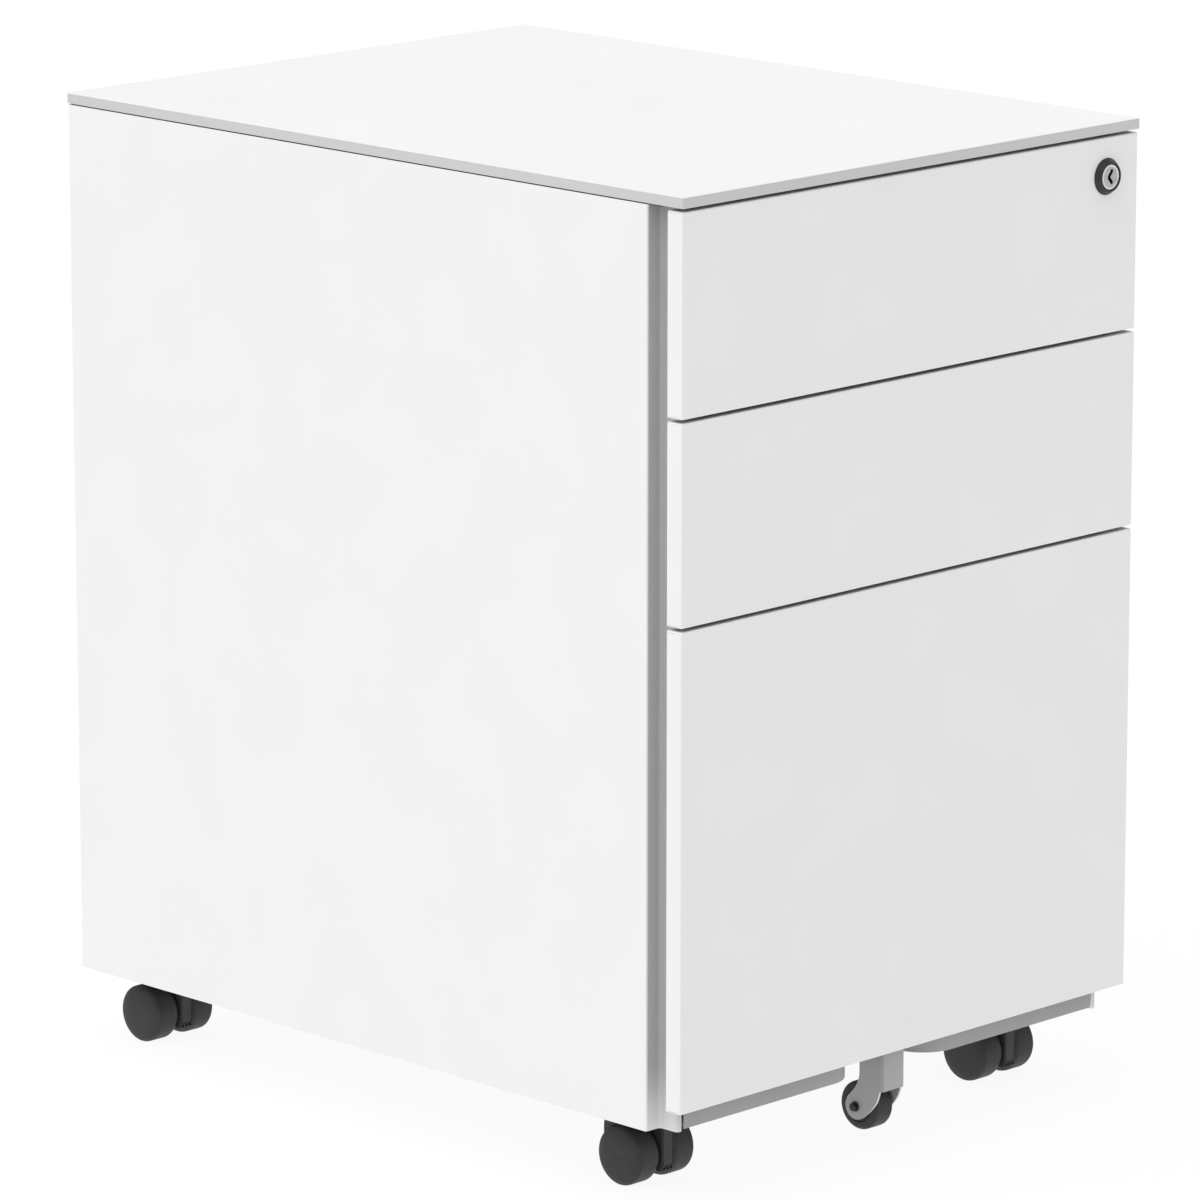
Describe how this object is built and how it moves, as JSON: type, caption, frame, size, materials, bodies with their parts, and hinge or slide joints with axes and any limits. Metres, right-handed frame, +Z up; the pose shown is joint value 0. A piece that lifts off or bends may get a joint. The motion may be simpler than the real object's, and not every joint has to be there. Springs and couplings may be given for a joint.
{
  "type": "mobile steel pedestal cabinet",
  "caption": "Mobile steel office pedestal with small drawers over a file drawer, recessed side grips, a front lock, swivel castors and an anti-tip wheel.",
  "frame": {"origin": "on the floor, under the middle of the cabinet's outer box, which runs from the lock's collar to the back of the top board", "axes": "+X to the right as one faces the drawers, +Y to the back, +Z up"},
  "size_m": [0.39, 0.5274, 0.6],
  "materials": {
    "white_laminate": "fine-grained matt laminate",
    "grey_edging": "smooth plastic edging",
    "white_steel": "fine textured powder coat",
    "grey_steel": "smooth grey powder coat",
    "zinc_steel": "bright zinc plating",
    "nickel": "brushed nickel plating",
    "dark_plastic": "fine moulded grain",
    "wheel_plastic": "smooth hard tread",
    "black_metal": "satin black"
  },
  "bodies": {
    "root": {"top_board": "white_laminate", "top_edging": "grey_edging", "board_screws": "zinc_steel", "crown_panel": "black_metal", "side_panel_left": "white_steel", "side_panel_right": "white_steel", "back_panel": "white_steel", "base_pan": "grey_steel", "front_rail": "grey_steel", "rear_uprights": "grey_steel", "slide_outers": "zinc_steel", "castor_stems": "zinc_steel"},
    "lock_bar": {"lock_bar": "grey_steel"},
    "drawer_1": {"drawer_1_front": "white_steel", "drawer_1_inner_skin": "white_steel", "drawer_1_tray": "white_steel", "drawer_1_catch": "zinc_steel", "slide_1_inner_left": "zinc_steel", "slide_1_inner_right": "zinc_steel", "lock_housing": "black_metal"},
    "slide_1_middle": {"slide_1_middle_left": "zinc_steel", "slide_1_middle_right": "zinc_steel"},
    "drawer_2": {"drawer_2_front": "white_steel", "drawer_2_inner_skin": "white_steel", "drawer_2_tray": "white_steel", "drawer_2_catch": "zinc_steel", "slide_2_inner_left": "zinc_steel", "slide_2_inner_right": "zinc_steel"},
    "slide_2_middle": {"slide_2_middle_left": "zinc_steel", "slide_2_middle_right": "zinc_steel"},
    "drawer_3": {"drawer_3_front": "white_steel", "drawer_3_inner_skin": "white_steel", "drawer_3_tray": "white_steel", "drawer_3_catch": "zinc_steel", "slide_3_inner_left": "zinc_steel", "slide_3_inner_right": "zinc_steel", "file_rails": "grey_steel", "anti_tip_bracket": "grey_steel", "anti_tip_axle": "black_metal"},
    "slide_3_middle": {"slide_3_middle_left": "zinc_steel", "slide_3_middle_right": "zinc_steel"},
    "lock_plug": {"lock_plug": "nickel", "lock_cam": "zinc_steel"},
    "anti_tip_wheel": {"anti_tip_wheel": "wheel_plastic"},
    "castor_fl": {"castor_fl_housing": "dark_plastic", "castor_fl_axle": "zinc_steel"},
    "castor_fl_wheel_left": {"castor_fl_wheel_left": "wheel_plastic"},
    "castor_fl_wheel_right": {"castor_fl_wheel_right": "wheel_plastic"},
    "castor_fr": {"castor_fr_housing": "dark_plastic", "castor_fr_axle": "zinc_steel"},
    "castor_fr_wheel_left": {"castor_fr_wheel_left": "wheel_plastic"},
    "castor_fr_wheel_right": {"castor_fr_wheel_right": "wheel_plastic"},
    "castor_bl": {"castor_bl_housing": "dark_plastic", "castor_bl_axle": "zinc_steel"},
    "castor_bl_wheel_left": {"castor_bl_wheel_left": "wheel_plastic"},
    "castor_bl_wheel_right": {"castor_bl_wheel_right": "wheel_plastic"},
    "castor_br": {"castor_br_housing": "dark_plastic", "castor_br_axle": "zinc_steel"},
    "castor_br_wheel_left": {"castor_br_wheel_left": "wheel_plastic"},
    "castor_br_wheel_right": {"castor_br_wheel_right": "wheel_plastic"}
  },
  "joints": [
    {"name": "drawer_1_slide", "type": "slide", "parent": "root", "child": "drawer_1", "axis": [0, -1, 0], "range_m": [0, 0.42]},
    {"name": "slide_1_middle_slide", "type": "slide", "parent": "root", "child": "slide_1_middle", "axis": [0, -1, 0], "range_m": [0, 0.21]},
    {"name": "drawer_2_slide", "type": "slide", "parent": "root", "child": "drawer_2", "axis": [0, -1, 0], "range_m": [0, 0.42]},
    {"name": "slide_2_middle_slide", "type": "slide", "parent": "root", "child": "slide_2_middle", "axis": [0, -1, 0], "range_m": [0, 0.21]},
    {"name": "drawer_3_slide", "type": "slide", "parent": "root", "child": "drawer_3", "axis": [0, -1, 0], "range_m": [0, 0.42]},
    {"name": "slide_3_middle_slide", "type": "slide", "parent": "root", "child": "slide_3_middle", "axis": [0, -1, 0], "range_m": [0, 0.21]},
    {"name": "lock_turn", "type": "hinge", "parent": "drawer_1", "child": "lock_plug", "pos_m": [0.1668, -0.2607, 0.5679], "axis": [0, -1, 0], "range_deg": [0, 90]},
    {"name": "lock_bar_lift", "type": "slide", "parent": "root", "child": "lock_bar", "axis": [0, 0, 1], "range_m": [0, 0.00848]},
    {"name": "anti_tip_wheel_spin", "type": "hinge", "parent": "drawer_3", "child": "anti_tip_wheel", "pos_m": [0, -0.2262, 0.0214], "axis": [1, 0, 0], "continuous": true},
    {"name": "castor_fl_swivel", "type": "hinge", "parent": "root", "child": "castor_fl", "pos_m": [-0.1504, -0.1997, 0.04], "axis": [0, 0, 1], "continuous": true},
    {"name": "castor_fl_wheel_left_spin", "type": "hinge", "parent": "castor_fl", "child": "castor_fl_wheel_left", "pos_m": [-0.1624, -0.1887, 0.018], "axis": [1, 0, 0], "continuous": true},
    {"name": "castor_fl_wheel_right_spin", "type": "hinge", "parent": "castor_fl", "child": "castor_fl_wheel_right", "pos_m": [-0.1384, -0.1887, 0.018], "axis": [1, 0, 0], "continuous": true},
    {"name": "castor_fr_swivel", "type": "hinge", "parent": "root", "child": "castor_fr", "pos_m": [0.1504, -0.1997, 0.04], "axis": [0, 0, 1], "continuous": true},
    {"name": "castor_fr_wheel_left_spin", "type": "hinge", "parent": "castor_fr", "child": "castor_fr_wheel_left", "pos_m": [0.1384, -0.1887, 0.018], "axis": [1, 0, 0], "continuous": true},
    {"name": "castor_fr_wheel_right_spin", "type": "hinge", "parent": "castor_fr", "child": "castor_fr_wheel_right", "pos_m": [0.1624, -0.1887, 0.018], "axis": [1, 0, 0], "continuous": true},
    {"name": "castor_bl_swivel", "type": "hinge", "parent": "root", "child": "castor_bl", "pos_m": [-0.1504, 0.2225, 0.04], "axis": [0, 0, 1], "continuous": true},
    {"name": "castor_bl_wheel_left_spin", "type": "hinge", "parent": "castor_bl", "child": "castor_bl_wheel_left", "pos_m": [-0.1624, 0.2335, 0.018], "axis": [1, 0, 0], "continuous": true},
    {"name": "castor_bl_wheel_right_spin", "type": "hinge", "parent": "castor_bl", "child": "castor_bl_wheel_right", "pos_m": [-0.1384, 0.2335, 0.018], "axis": [1, 0, 0], "continuous": true},
    {"name": "castor_br_swivel", "type": "hinge", "parent": "root", "child": "castor_br", "pos_m": [0.1504, 0.2225, 0.04], "axis": [0, 0, 1], "continuous": true},
    {"name": "castor_br_wheel_left_spin", "type": "hinge", "parent": "castor_br", "child": "castor_br_wheel_left", "pos_m": [0.1384, 0.2335, 0.018], "axis": [1, 0, 0], "continuous": true},
    {"name": "castor_br_wheel_right_spin", "type": "hinge", "parent": "castor_br", "child": "castor_br_wheel_right", "pos_m": [0.1624, 0.2335, 0.018], "axis": [1, 0, 0], "continuous": true}
  ],
  "couplings": [
    {"joint": "slide_1_middle_slide", "follows": "drawer_1_slide", "ratio": 0.5},
    {"joint": "slide_2_middle_slide", "follows": "drawer_2_slide", "ratio": 0.5},
    {"joint": "slide_3_middle_slide", "follows": "drawer_3_slide", "ratio": 0.5},
    {"joint": "lock_turn", "follows": "lock_bar_lift", "rad_per_m": 185.12}
  ]
}
